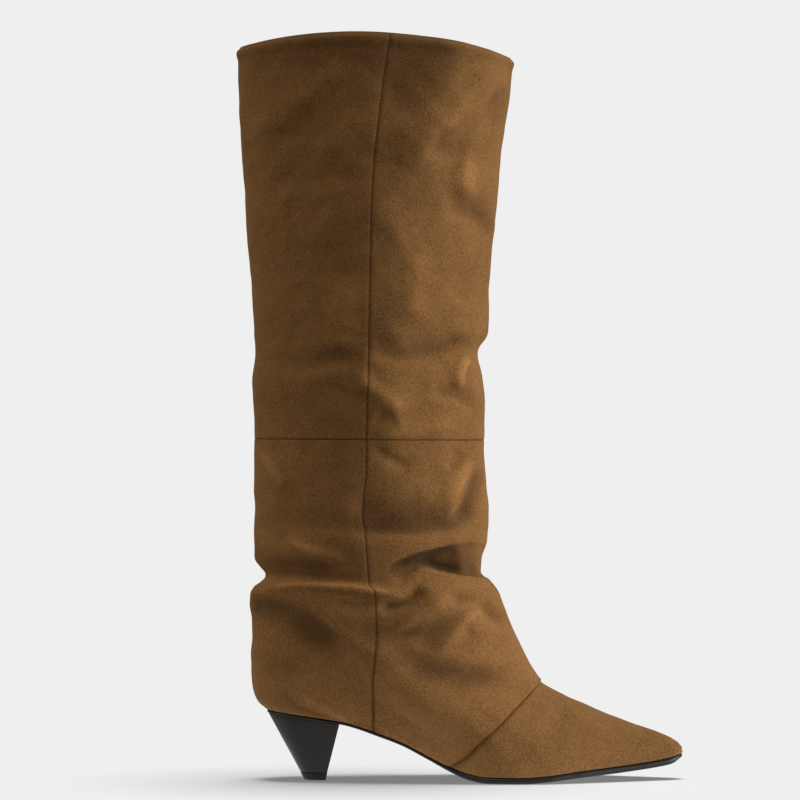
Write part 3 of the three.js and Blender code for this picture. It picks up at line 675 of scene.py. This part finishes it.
def make_lower_leg(materials):
    """Lower leg: a sheet from its front edge round the back to its other front edge. Above the
    throat both edges meet on the front line and are joined there."""
    rows, place, length = row_places(0, CROSS_SEAM_ROW, 1.7, SOLE_ROWS, SEAM_ROWS)
    side = seam_columns(46, 74, edge=True)
    columns = np.concatenate([-side[:0:-1], side])
    row = rows[:, None]
    seam = side_seam_turn(rows)[:, None]
    front = vamp_edge_turn(rows)[:, None]
    turn = leg_turn(columns, seam, front)
    half_girth = HALF_GIRTH_FOOT + (HALF_GIRTH - HALF_GIRTH_FOOT) * smoothstep(row, 4, 10)
    seam_gap = np.minimum(np.abs(np.abs(turn) - seam) * half_girth, (length - place)[:, None])
    open_front = front < 0.9999
    edge_gap = np.where(open_front, (front - np.abs(turn)) * half_girth, FAR)
    # the second value is the mark of painted highlight and painted shade on the nap
    points, nap_and_painted_light = leather_sheet(row, turn, seam_gap, LEG_ROLL[0] * bell(edge_gap, LEG_ROLL[1]))
    points[0, :, 2] += CLEARANCE
    count = len(columns)
    joined = np.nonzero(~open_front[:, 0])[0]
    same = np.stack([joined * count, joined * count + count - 1], -1)
    marks = {"fold": nap_and_painted_light, "seam": bell(seam_gap, SEAM_LINE),
             "edge": bell(edge_gap, DARK_EDGE["leg"])}
    vertices, faces, marks = without_doubles(
        points.reshape(-1, 3), grid_faces(len(rows), count, False), marks, same)
    return finish_sheet(new_piece("leg_lower", vertices, faces.tolist(), **marks), materials)


def make_vamp(materials):
    """Vamp: rings round the toe, from under the lower leg's edge on one side to the other side. Its
    columns are closer together over the toe."""
    rows = row_places(0, VAMP_TOP_ROW, 1.5, SOLE_ROWS)[0]
    columns = np.linspace(-1, 1, 190)
    row = rows[:, None]
    start = np.minimum(vamp_edge_turn(rows, LAP * 1.4), 0.994)[:, None]
    turn = -np.sign(columns) * (1 - np.abs(columns)[None] ** 1.15 * (1 - start))
    under = LAP_AT_SOLE + (LAP_STEP - LAP_AT_SOLE) * smoothstep(row, 0, 2) + VAMP_SLACK
    # the second value is the mark of painted highlight and painted shade on the nap
    points, nap_and_painted_light = leather_sheet(row, turn, np.full(turn.shape, FAR), under)
    points[0, :, 2] += CLEARANCE
    # the vamp's seam and edge marks are a painted shadow beside the lower leg's lapped edge, which
    # lies over it
    edge_gap = (np.abs(turn) - vamp_edge_turn(rows)[:, None]) * HALF_GIRTH_FOOT
    piece = new_piece("vamp", points, grid_faces(len(rows), len(columns), False).tolist(),
                      fold=nap_and_painted_light, seam=bell(edge_gap - 0.2, 0.8),
                      edge=bell(np.maximum(edge_gap, 0), DARK_EDGE["vamp"]))
    return finish_sheet(piece, materials)


def plate(name, inset, top, bottom, rounding, material, tip_rise=0.0, stations=140):
    """A plate under the foot: stations along the sole's outline, each a flat section whose lower
    corners are rounded. tip_rise: how far its underside curls up at the toe."""
    angle = np.linspace(0, np.pi, stations)[:, None]
    share = (1 - np.cos(angle)) / 2
    x = inset + share * (LENGTH - 2 * inset)
    half = np.maximum(outline("half", angle) - inset * np.sin(angle) ** 0.5, rounding * 1.5)
    arc = np.linspace(0, np.pi / 2, 5)
    inward = np.concatenate([[0, 0], rounding * (1 - np.cos(arc))])
    drop = np.concatenate([[0, 0.5], np.ones(5)])
    lift = np.concatenate([[0, 0], rounding * (1 - np.sin(arc))])
    high = top(x / LENGTH)
    low = bottom(x / LENGTH) + tip_rise * smoothstep(share, 0.965, 1.0) ** 2
    side_y = half - inward
    side_z = high + (low - high) * drop + lift
    across = np.linspace(1, -1, 9)[None, 1:-1]
    ring_y = np.concatenate([-side_y, (half - rounding) * -across, side_y[:, ::-1],
                             half * across], 1)
    ring_z = np.concatenate([side_z, low + 0 * across, side_z[:, ::-1], high + 0 * across], 1)
    ring_x = np.broadcast_to(x, ring_y.shape)
    ring_y = ring_y + outline("lean", angle)
    return closed_tube(name, np.stack([ring_x, ring_y, ring_z], -1), material)


def heel_rings(up):
    """x and y of level rings round the heel: a straight way, by up, from its small tip (0, on the
    floor) to the sole's outline at the seat (1). They are flat at the breast and round behind."""
    seat_angle = math.acos(1 - 2 * HEEL_TOP_LENGTH / LENGTH)
    turn = np.linspace(1, -1, 97)[None]
    angle = np.abs(turn) * seat_angle
    seat_x = HEEL_INSET + (1 - np.cos(angle)) / 2 * LENGTH
    seat_y = np.sign(turn) * np.maximum(outline("half", angle) - HEEL_INSET, 0)
    quarter = turn * np.pi / 2
    round_back = 1 - np.maximum(np.cos(quarter), 0) ** TIP_SQUARENESS
    tip_x = HEEL_TIP_SETBACK + HEEL_TIP_LENGTH * round_back
    tip_y = HEEL_TIP_WIDTH / 2 * np.sin(quarter)
    return tip_x + (seat_x - tip_x) * up, tip_y + (seat_y - tip_y) * up


def block(name, x, y, z, rounding, material):
    """A closed block from level rings, with its sharp edges rounded."""
    piece = closed_tube(name, np.stack([x, y, z], -1), material)
    bevel = piece.modifiers.new("rounded edges", "BEVEL")
    bevel.width = rounding * MM
    bevel.segments = 3
    bevel.limit_method = "ANGLE"
    bevel.angle_limit = math.radians(40)
    return piece


def make_heel(material):
    """The covered heel, from the top piece up to the sole."""
    up = np.linspace(TOP_PIECE_SHARE, 1, 14)[:, None]
    x, y = heel_rings(up)
    low = TOP_PIECE + CLEARANCE
    seat = sole_bottom(x[-1:] / LENGTH) - CLEARANCE
    z = low + (seat - low) * (up - TOP_PIECE_SHARE) / (1 - TOP_PIECE_SHARE)
    return block("cone_heel", x, y, z, 0.4, material)


def make_top_piece(material):
    """The rubber under the heel."""
    up = np.linspace(0, TOP_PIECE_SHARE, 3)[:, None]
    x, y = heel_rings(up)
    z = np.broadcast_to(up / TOP_PIECE_SHARE * TOP_PIECE, x.shape)
    return block("heel_rubber", x, y, z, 0.25, material)


# Materials

FINISH = [("Colour", "NodeSocketColor"), ("Roughness", "NodeSocketFloat"),
          ("Normal", "NodeSocketVector")]
# Colour of the seams' dark line, and of the painted shadow beside the lower leg's lapped edge on
# the vamp
SEAM_COLOUR = (0.05, 0.022, 0.008, 1)

# Smooth materials: colour, worn colour, roughness, the grain's scale and relief, and specular
SMOOTH = {
    "lining": ((0.38, 0.26, 0.15, 1), (0.3, 0.2, 0.11, 1), 0.6, 700.0, 0.25, 0.3),
    "insole_sock": ((0.42, 0.3, 0.18, 1), (0.34, 0.23, 0.13, 1), 0.55, 600.0, 0.25, 0.3),
    "heel_black": ((0.0125, 0.0095, 0.0078, 1), (0.018, 0.014, 0.0115, 1), 0.34, 500.0, 0.08, 0.3),
    "sole_black": ((0.012, 0.0115, 0.011, 1), (0.03, 0.028, 0.026, 1), 0.42, 420.0, 0.2, 0.4),
    "rubber_black": ((0.009, 0.0078, 0.007, 1), (0.018, 0.016, 0.0145, 1), 0.6, 300.0, 0.5, 0.25),
}


def set_inputs(tree, node, inputs):
    """Sets a node's inputs, by name or number, each to a value or to the output of another node."""
    for label, value in inputs.items():
        if isinstance(value, bpy.types.NodeSocket):
            tree.links.new(value, node.inputs[label])
        else:
            node.inputs[label].default_value = value


def new_node(tree, kind, inputs, **settings):
    """A node with its settings and its inputs."""
    node = tree.nodes.new(kind)
    for label, value in settings.items():
        setattr(node, label, value)
    set_inputs(tree, node, inputs)
    return node


def node_group(name, inputs):
    """A group that puts out a finish, with its given values and its output node."""
    group = bpy.data.node_groups.new(name, "ShaderNodeTree")
    for label, kind, value in inputs:
        socket = group.interface.new_socket(label, in_out="INPUT", socket_type=kind)
        socket.default_value = value
    for label, kind in FINISH:
        group.interface.new_socket(label, in_out="OUTPUT", socket_type=kind)
    given = group.nodes.new("NodeGroupInput").outputs
    return group, given, group.nodes.new("NodeGroupOutput")


def object_coordinates(tree):
    return tree.nodes.new("ShaderNodeTexCoord").outputs["Object"]


def noise(tree, vector, scale, detail, roughness, distortion=0.0):
    """The value of a noise, 0 to 1."""
    inputs = {"Vector": vector, "Scale": scale, "Detail": detail, "Roughness": roughness,
              "Distortion": distortion}
    return new_node(tree, "ShaderNodeTexNoise", inputs).outputs["Fac"]


def math_node(tree, operation, a, b):
    return new_node(tree, "ShaderNodeMath", {0: a, 1: b}, operation=operation).outputs[0]


def mix_colour(tree, factor, a, b):
    """Colour a where the factor is 0, and colour b where it is 1."""
    inputs = {0: factor, 6: a, 7: b}
    return new_node(tree, "ShaderNodeMix", inputs, data_type="RGBA").outputs[2]


def spread(tree, value, low, high, to_low, to_high):
    """to_low where the value is low, to_high where it is high, and a smooth step between them."""
    inputs = {0: value, 1: low, 2: high, 3: to_low, 4: to_high}
    node = new_node(tree, "ShaderNodeMapRange", inputs, interpolation_type="SMOOTHSTEP")
    return node.outputs[0]


def bump(tree, height, strength, distance):
    """The normal of a surface with this height on it."""
    inputs = {"Height": height, "Strength": strength, "Distance": distance}
    return new_node(tree, "ShaderNodeBump", inputs).outputs["Normal"]


def suede_group():
    """Nap of brushed suede: soft light and dark patches where the nap lies this way or that, fine
    flecks, a painted highlight on ridges and painted shade in folds and pockets, darker seams and
    edges, a painted shadow beside the lower leg's lapped edge on the vamp, and the height of the
    grain."""
    group, given, out = node_group("suede_nap", [
        ("Colour", "NodeSocketColor", (0.287, 0.136, 0.043, 1)),
        ("Dark", "NodeSocketColor", (0.162, 0.068, 0.016, 1)),
        ("Pale", "NodeSocketColor", (0.38, 0.2, 0.08, 1)),
        ("PaintedLightMark", "NodeSocketFloat", 0.0), ("Seam", "NodeSocketFloat", 0.0),
        ("Edge", "NodeSocketFloat", 0.0)])
    dark, pale, fold = given["Dark"], given["Pale"], given["PaintedLightMark"]
    coords = object_coordinates(group)
    patches = noise(group, coords, 26, 4, 0.6, 0.6)
    brush = noise(group, coords, 110, 3, 0.6)
    flecks = noise(group, coords, 980, 3, 0.7)
    grain = noise(group, coords, 1500, 2, 0.6)
    colour = given["Colour"]
    for value, low, high, most, other in ((patches, 0.34, 0.68, 0.42, dark),
                                          (brush, 0.4, 0.72, 0.2, pale),
                                          (flecks, 0.48, 0.66, 0.6, pale),
                                          (flecks, 0.52, 0.34, 0.66, dark)):
        colour = mix_colour(group, spread(group, value, low, high, 0.0, most), colour, other)
    # painted highlight on ridges and painted shade in troughs and pockets, from the piece's mark of
    # painted light
    painted_highlight = spread(group, fold, -0.5, -2.9, 0.0, 0.52)
    painted_trough_shade = math_node(group, "ADD", spread(group, fold, 0.6, 5.0, 0.0, 0.45),
                       spread(group, fold, 5.0, 15.0, 0.0, 0.33))
    painted_light_scale = math_node(group, "SUBTRACT", math_node(group, "ADD", painted_highlight, 1.0), painted_trough_shade)
    wear_and_painted_light = new_node(group, "ShaderNodeVectorMath", {}, operation="SCALE")
    set_inputs(group, wear_and_painted_light, {0: colour, "Scale": painted_light_scale})
    # dark seam line; on the vamp this mark is a painted shadow beside the lower leg's lapped edge
    seam = math_node(group, "MULTIPLY", given["Seam"], 0.8)
    colour = mix_colour(group, seam, wear_and_painted_light.outputs[0], SEAM_COLOUR)
    # dark line along an edge; on the vamp it is a painted shadow beside the lower leg's lapped edge
    edge = math_node(group, "MULTIPLY", given["Edge"], 0.35)
    height = math_node(group, "ADD", math_node(group, "MULTIPLY", flecks, 0.7),
                       math_node(group, "MULTIPLY", grain, 0.45))
    height = math_node(group, "ADD", height, math_node(group, "MULTIPLY", brush, 0.9))
    set_inputs(group, out, {"Colour": mix_colour(group, edge, colour, dark),
                            "Roughness": spread(group, brush, 0.3, 0.7, 0.86, 1.0),
                            "Normal": bump(group, height, 0.65, 0.0006)})
    return group


def grain_group():
    """Fine grain of smooth leather, rubber or a heel cover: a slow change of tone, a roughness that
    follows it, and the height of the grain."""
    group, given, out = node_group("fine_grain", [
        ("Colour", "NodeSocketColor", (0.02, 0.02, 0.02, 1)),
        ("Worn", "NodeSocketColor", (0.05, 0.05, 0.05, 1)),
        ("Gloss", "NodeSocketFloat", 0.4), ("Scale", "NodeSocketFloat", 400.0),
        ("Relief", "NodeSocketFloat", 0.2)])
    coords = object_coordinates(group)
    slow = noise(group, coords, 45, 3, 0.6)
    fine = noise(group, coords, given["Scale"], 3, 0.5)
    wear_and_painted_light = spread(group, slow, 0.45, 0.8, 0.0, 0.5)
    duller = spread(group, slow, 0.3, 0.7, -0.05, 0.07)
    set_inputs(group, out, {"Colour": mix_colour(group, wear_and_painted_light, given["Colour"], given["Worn"]),
                            "Roughness": math_node(group, "ADD", given["Gloss"], duller),
                            "Normal": bump(group, fine, given["Relief"], 0.0003)})
    return group


def new_material(name):
    material = bpy.data.materials.new(name)
    material.use_nodes = True
    return material, material.node_tree


def put_finish(tree, group, values, shading):
    """Gives a material's shader the finish of a group with these values, and the rest of its own
    inputs."""
    finish = new_node(tree, "ShaderNodeGroup", values, node_tree=group).outputs
    set_inputs(tree, tree.nodes["Principled BSDF"], {
        "Base Color": finish["Colour"], "Roughness": finish["Roughness"],
        "Normal": finish["Normal"], **shading})


def suede(name, group, **colours):
    """Suede whose painted highlight on ridges, painted shade in folds, darker seams and edges come
    from the piece's own attributes. On the vamp the seam and edge marks are a painted shadow beside
    the lower leg's lapped edge.
    """
    material, tree = new_material(name)
    marks = {label: new_node(tree, "ShaderNodeAttribute", {}, attribute_name=key).outputs["Fac"]
             for label, key in (("PaintedLightMark", "fold"), ("Seam", "seam"), ("Edge", "edge"))}
    put_finish(tree, group, {**colours, **marks}, {
        "Specular IOR Level": 0.12, "Sheen Weight": 0.16, "Sheen Roughness": 0.5,
        "Sheen Tint": (0.95, 0.66, 0.42, 1)})
    return material


def grained(name, group, colour, wear_and_painted_light, gloss, scale, relief, specular):
    """Smooth leather, rubber or a heel cover."""
    material, tree = new_material(name)
    put_finish(tree, group, {"Colour": colour, "Worn": wear_and_painted_light, "Gloss": gloss, "Scale": scale,
                             "Relief": relief}, {"Specular IOR Level": specular})
    return material


# The studio

BACKDROP = 0.863  # brightness of the pale background
FLOOR_COLOUR = (0.55, 0.55, 0.55495, 1)
FLOOR_RADIUS = 30.0  # metres
FLOOR_LIGHT = 3.655  # strength of the light over the floor
FLOOR_LIT = 0.676  # brightness that this light gives the floor
FLOOR_GLOW = (0.06, 0.3, 0.85, 0.04)  # metres from the origin, near and far, and the glow at each
FILL = (0.074, 0.069, 0.058, 1)  # weak light from all sides
WARM = (1, 0.96, 0.88)
PHOTO_CENTRE_X = 82.1  # the photo's middle column falls this far along the boot
CAMERA_HEIGHT = 234.0
CAMERA_DISTANCE = 2850.0
CAMERA_LENS = 207.8


def make_camera():
    """The photo's view: level, from the outer side, with the boot's length across it."""
    data = bpy.data.cameras.new("camera")
    data.lens = CAMERA_LENS
    data.sensor_width = 36
    camera = bpy.data.objects.new("camera", data)
    camera.location = ((PHOTO_CENTRE_X + FRAME_X) * MM, -CAMERA_DISTANCE * MM, CAMERA_HEIGHT * MM)
    camera.rotation_euler = (math.radians(90), 0, 0)
    bpy.context.scene.collection.objects.link(camera)
    bpy.context.scene.camera = camera


def camera_or_light(tree, seen, unseen, output):
    """Puts out one shader to the camera, and another to every other ray."""
    path = tree.nodes.new("ShaderNodeLightPath")
    mix = new_node(tree, "ShaderNodeMixShader", {0: path.outputs["Is Camera Ray"],
                                                 1: unseen.outputs[0], 2: seen.outputs[0]})
    tree.links.new(mix.outputs[0], output.inputs[0])


def make_world():
    """A pale background for the camera, and a weaker grey light for everything else."""
    world = bpy.data.worlds.new("studio")
    bpy.context.scene.world = world
    world.use_nodes = True
    tree = world.node_tree
    seen = tree.nodes["Background"]
    set_inputs(tree, seen, {"Color": (BACKDROP, BACKDROP, BACKDROP, 1)})
    fill = new_node(tree, "ShaderNodeBackground", {"Color": FILL})
    camera_or_light(tree, seen, fill, tree.nodes["World Output"])


def make_floor():
    """A pale round floor. Its brightness to the camera is partly its own, so that it joins the
    background, and the rest comes from the light over it, so that the boot shades it softly. To
    everything else it glows faintly, and more so under the boot."""
    angle = np.linspace(0, 2 * np.pi, 97)[:-1]
    ring = np.stack([np.cos(angle), np.sin(angle), 0 * angle], -1) * FLOOR_RADIUS
    mesh = bpy.data.meshes.new("floor")
    mesh.from_pydata(ring.tolist(), [], [list(range(len(ring)))])
    floor = bpy.data.objects.new("floor", mesh)
    bpy.context.scene.collection.objects.link(floor)
    material, tree = new_material("floor")
    tree.nodes.clear()
    lit = new_node(tree, "ShaderNodeBsdfDiffuse", {"Color": FLOOR_COLOUR})
    own = new_node(tree, "ShaderNodeEmission", {"Color": (1, 1, 1, 1),
                                                "Strength": BACKDROP - FLOOR_LIT})
    seen = new_node(tree, "ShaderNodeAddShader", {0: lit.outputs[0], 1: own.outputs[0]})
    reach = new_node(tree, "ShaderNodeVectorMath", {0: object_coordinates(tree)},
                     operation="LENGTH").outputs["Value"]
    glow = new_node(tree, "ShaderNodeEmission", {"Strength": spread(tree, reach, *FLOOR_GLOW)})
    camera_or_light(tree, seen, glow, tree.nodes.new("ShaderNodeOutputMaterial"))
    mesh.materials.append(material)
    return floor


def make_sun(name, strength, width, direction, receivers, colour=(1, 1, 1)):
    """A far light. width: how wide it looks, in degrees. direction: where it shines from. It lights
    only the given objects."""
    data = bpy.data.lights.new(name, "SUN")
    data.energy = strength
    data.angle = math.radians(width)
    data.color = colour
    light = bpy.data.objects.new(name, data)
    x, y, z = direction
    light.rotation_euler = (math.atan2(math.hypot(x, y), z), 0, math.atan2(y, x) + math.pi / 2)
    bpy.context.scene.collection.objects.link(light)
    lit = bpy.data.collections.new("lit by " + name)
    for receiver in receivers:
        lit.objects.link(receiver)
    light.light_linking.receiver_collection = lit


def main():
    """Builds the pieces, hides the imported parts, hangs the pieces on the root body, and puts them
    in the studio.
    """
    make_camera()
    nap_and_painted_light = suede_group()
    grain = grain_group()
    suede_leg = suede("suede_leg", nap_and_painted_light)
    suede_vamp = suede("suede_vamp", nap_and_painted_light, Colour=(0.262, 0.127, 0.041, 1),
                       Dark=(0.148, 0.064, 0.016, 1), Pale=(0.35, 0.188, 0.076, 1))
    smooth = {name: grained(name, grain, *values) for name, values in SMOOTH.items()}

    shaft = make_shaft([suede_leg, smooth["lining"]])
    lower = make_lower_leg([suede_leg, smooth["lining"]])
    vamp = make_vamp([suede_vamp, smooth["lining"]])
    sole = plate("sole", SOLE_INSET, sole_top, sole_bottom, 0.8, smooth["sole_black"],
                 tip_rise=2.2)
    footbed = plate("footbed", LAP_STEP + WALL + 2 * CLEARANCE,
                    lambda share: sole_top(share) + CLEARANCE + INSOLE,
                    lambda share: sole_top(share) + CLEARANCE, 0.6, smooth["insole_sock"])
    heel = make_heel(smooth["heel_black"])
    top_piece = make_top_piece(smooth["rubber_black"])

    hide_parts("shaft")
    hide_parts("upper")
    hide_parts("upper")
    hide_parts("outsole")
    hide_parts("insole")
    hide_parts("heel")
    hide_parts("top_piece")
    slots = {"suede": (shaft, lower, vamp), "outsole": (sole,), "insole": (footbed,),
             "heel_cover": (heel,), "top_piece": (top_piece,)}
    pieces = []
    for slot, members in slots.items():
        for piece in members:
            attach(piece, "root")
            pieces.append(piece)

    make_world()
    floor = make_floor()
    make_sun("key", 3.54, 36, (0.90, -0.14, 0.20), pieces, (1, 1, 0.985))
    make_sun("from_above", 0.8, 25, (-0.25, -0.4, 1.0), pieces, WARM)
    make_sun("from_behind", 0.97, 30, (-1.0, 0.1, 0.3), pieces, WARM)
    make_sun("over_floor", FLOOR_LIGHT, 27, (0.04, 0.055, 1.0), [floor])
    bpy.context.scene.view_settings.view_transform = "Standard"


main()
